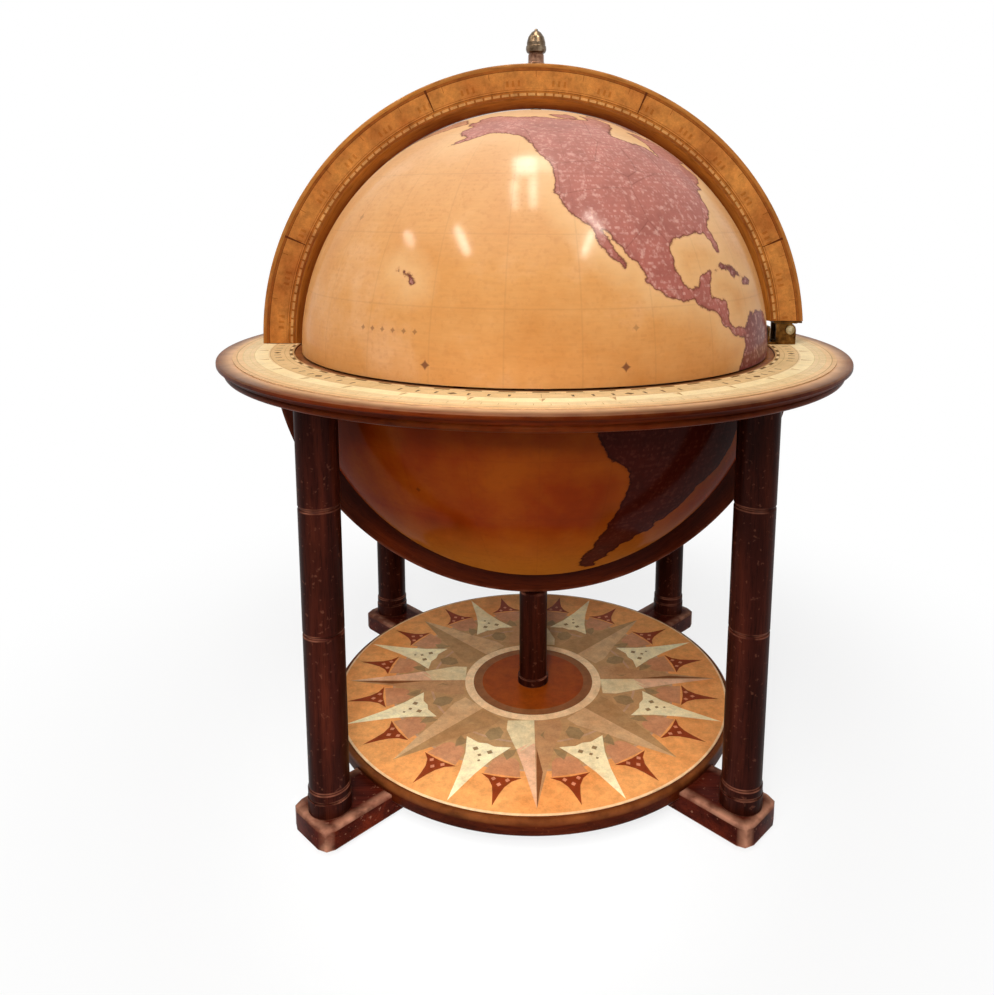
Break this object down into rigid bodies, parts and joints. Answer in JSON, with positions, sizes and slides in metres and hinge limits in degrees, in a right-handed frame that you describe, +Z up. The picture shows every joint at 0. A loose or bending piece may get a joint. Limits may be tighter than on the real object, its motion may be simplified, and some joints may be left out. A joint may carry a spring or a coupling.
{
  "type": "floor globe bar",
  "caption": "Floor-standing globe bar on a turned wooden stand with a shelf; the upper half of the globe hinges open over a drinks deck and spins on its pole.",
  "frame": {"origin": "on the floor, under the middle of the globe, which is the centre of the bounding box's underside", "axes": "+Z up; the front faces -Y; the meridians lie in the XZ plane and the lid's hinge is at the +X side"},
  "size_m": [0.666, 0.666, 0.7783],
  "materials": {
    "red_stained_beech": "red-brown stain under satin lacquer",
    "dark_stained_beech": "dark red-brown stain, rubbed at the edges, satin lacquer",
    "plain_beech": "bare",
    "deck_veneer": "satin lacquered veneer",
    "rose_print": "printed compass rose under satin varnish",
    "horizon_print": "printed rings under satin varnish",
    "scale_print": "printed scale under satin varnish",
    "upper_map_board": "printed map under gloss varnish",
    "lower_map_board": "printed map under gloss varnish",
    "aged_brass": "aged",
    "zinc_steel": "zinc plated",
    "grey_felt": "felt"
  },
  "bodies": {
    "stand": {"base_arm_under": "red_stained_beech", "base_arm_over": "red_stained_beech", "horizon_ring": "red_stained_beech", "leg_front_left": "dark_stained_beech", "leg_front_right": "dark_stained_beech", "leg_back_right": "dark_stained_beech", "leg_back_left": "dark_stained_beech", "shelf_board": "dark_stained_beech", "centre_post": "dark_stained_beech", "lower_meridian": "dark_stained_beech", "bowl_seat": "dark_stained_beech", "leg_dowel_front_left": "plain_beech", "leg_dowel_front_right": "plain_beech", "leg_dowel_back_right": "plain_beech", "leg_dowel_back_left": "plain_beech", "meridian_dowel_left": "plain_beech", "meridian_dowel_right": "plain_beech", "drinks_deck": "deck_veneer", "bottle_floor": "deck_veneer", "shelf_rose_print": "rose_print", "horizon_print": "horizon_print", "lower_bowl": "lower_map_board", "hinge_base": "aged_brass", "hinge_base_screw_front": "aged_brass", "hinge_base_screw_back": "aged_brass", "hinge_base_screw_outer": "aged_brass", "hinge_pin": "aged_brass", "leg_bolt_front_left": "zinc_steel", "leg_bolt_front_right": "zinc_steel", "leg_bolt_back_right": "zinc_steel", "leg_bolt_back_left": "zinc_steel", "shelf_screw_front_left": "zinc_steel", "shelf_screw_front_right": "zinc_steel", "shelf_screw_back_right": "zinc_steel", "shelf_screw_back_left": "zinc_steel", "post_bolt": "zinc_steel", "bowl_washer": "zinc_steel", "bowl_bolt": "zinc_steel", "floor_glide_front_left": "grey_felt", "floor_glide_front_right": "grey_felt", "floor_glide_back_right": "grey_felt", "floor_glide_back_left": "grey_felt"},
    "lid": {"hinge_tongue": "aged_brass", "tongue_screw_left": "aged_brass", "tongue_screw_right": "aged_brass", "upper_meridian": "red_stained_beech", "meridian_scale_front": "scale_print", "meridian_scale_back": "scale_print", "pole_spacer": "aged_brass", "pole_washer": "aged_brass", "pole_nut": "aged_brass", "pole_pin": "zinc_steel", "finial": "aged_brass"},
    "globe_cap": {"upper_hemisphere": "upper_map_board", "upper_rim_hoop": "dark_stained_beech", "pole_block": "plain_beech"}
  },
  "joints": [
    {"name": "lid_hinge", "type": "hinge", "parent": "stand", "child": "lid", "pos_m": [0.282, 0, 0.4605], "axis": [0, 1, 0], "range_deg": [0, 90]},
    {"name": "cap_spin", "type": "hinge", "parent": "lid", "child": "globe_cap", "pos_m": [0, 0, 0.444], "axis": [0, 0, 1], "continuous": true}
  ]
}
